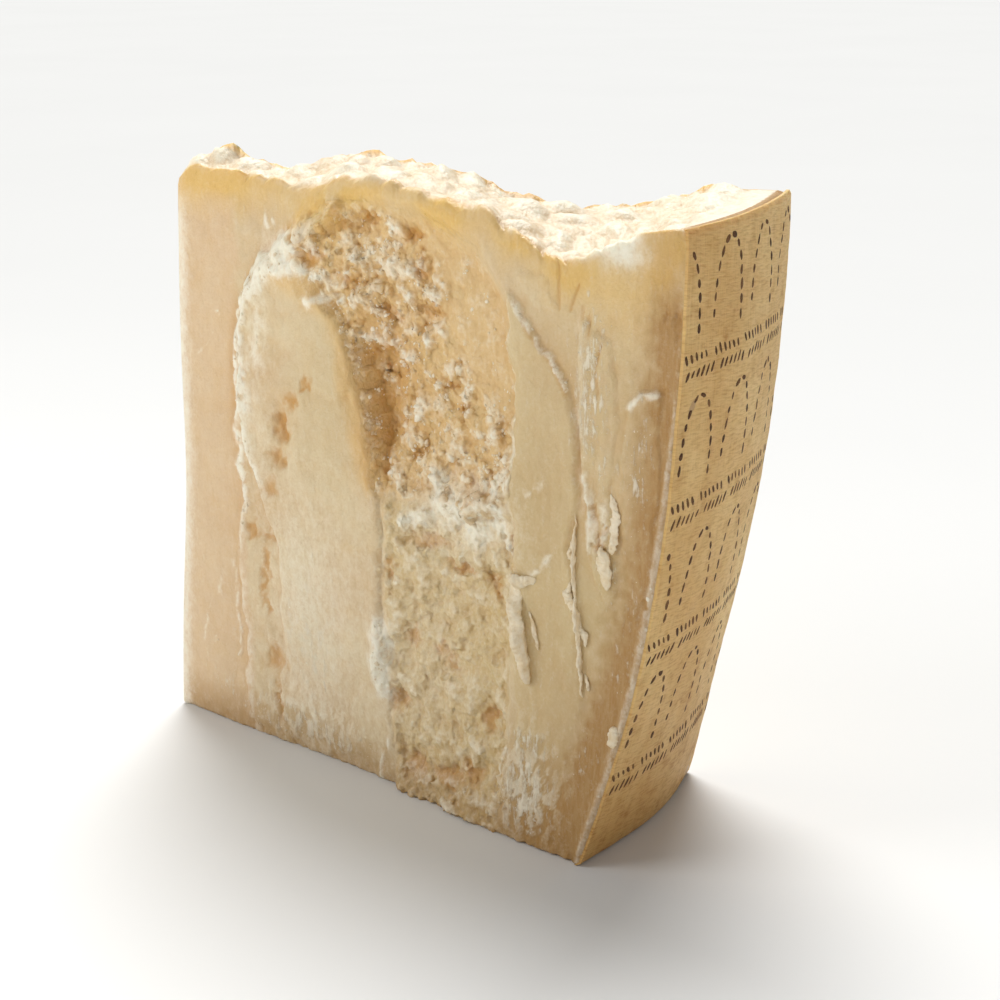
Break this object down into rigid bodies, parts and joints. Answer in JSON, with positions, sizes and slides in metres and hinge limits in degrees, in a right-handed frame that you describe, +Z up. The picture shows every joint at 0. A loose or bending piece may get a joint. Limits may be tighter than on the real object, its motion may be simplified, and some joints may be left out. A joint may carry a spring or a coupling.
{
  "type": "hard cheese chunk",
  "caption": "Broken wedge of a hard, grainy grating cheese with its rind, standing upright on the flat face of its wheel.",
  "frame": {"origin": "middle of the bounding box at the level the wedge stands on", "axes": "+Z up, +X from the thin end to the rind, -Y out of the broken front face"},
  "size_m": [0.2153, 0.0838, 0.2039],
  "materials": {
    "paste": "matte, slightly translucent cheese paste",
    "rind": "dry tan rind with the weave of its pressing cloth",
    "marks": "dark brown marks pressed into the rind"
  },
  "bodies": {
    "root": {"cheese": "paste"}
  },
  "joints": []
}
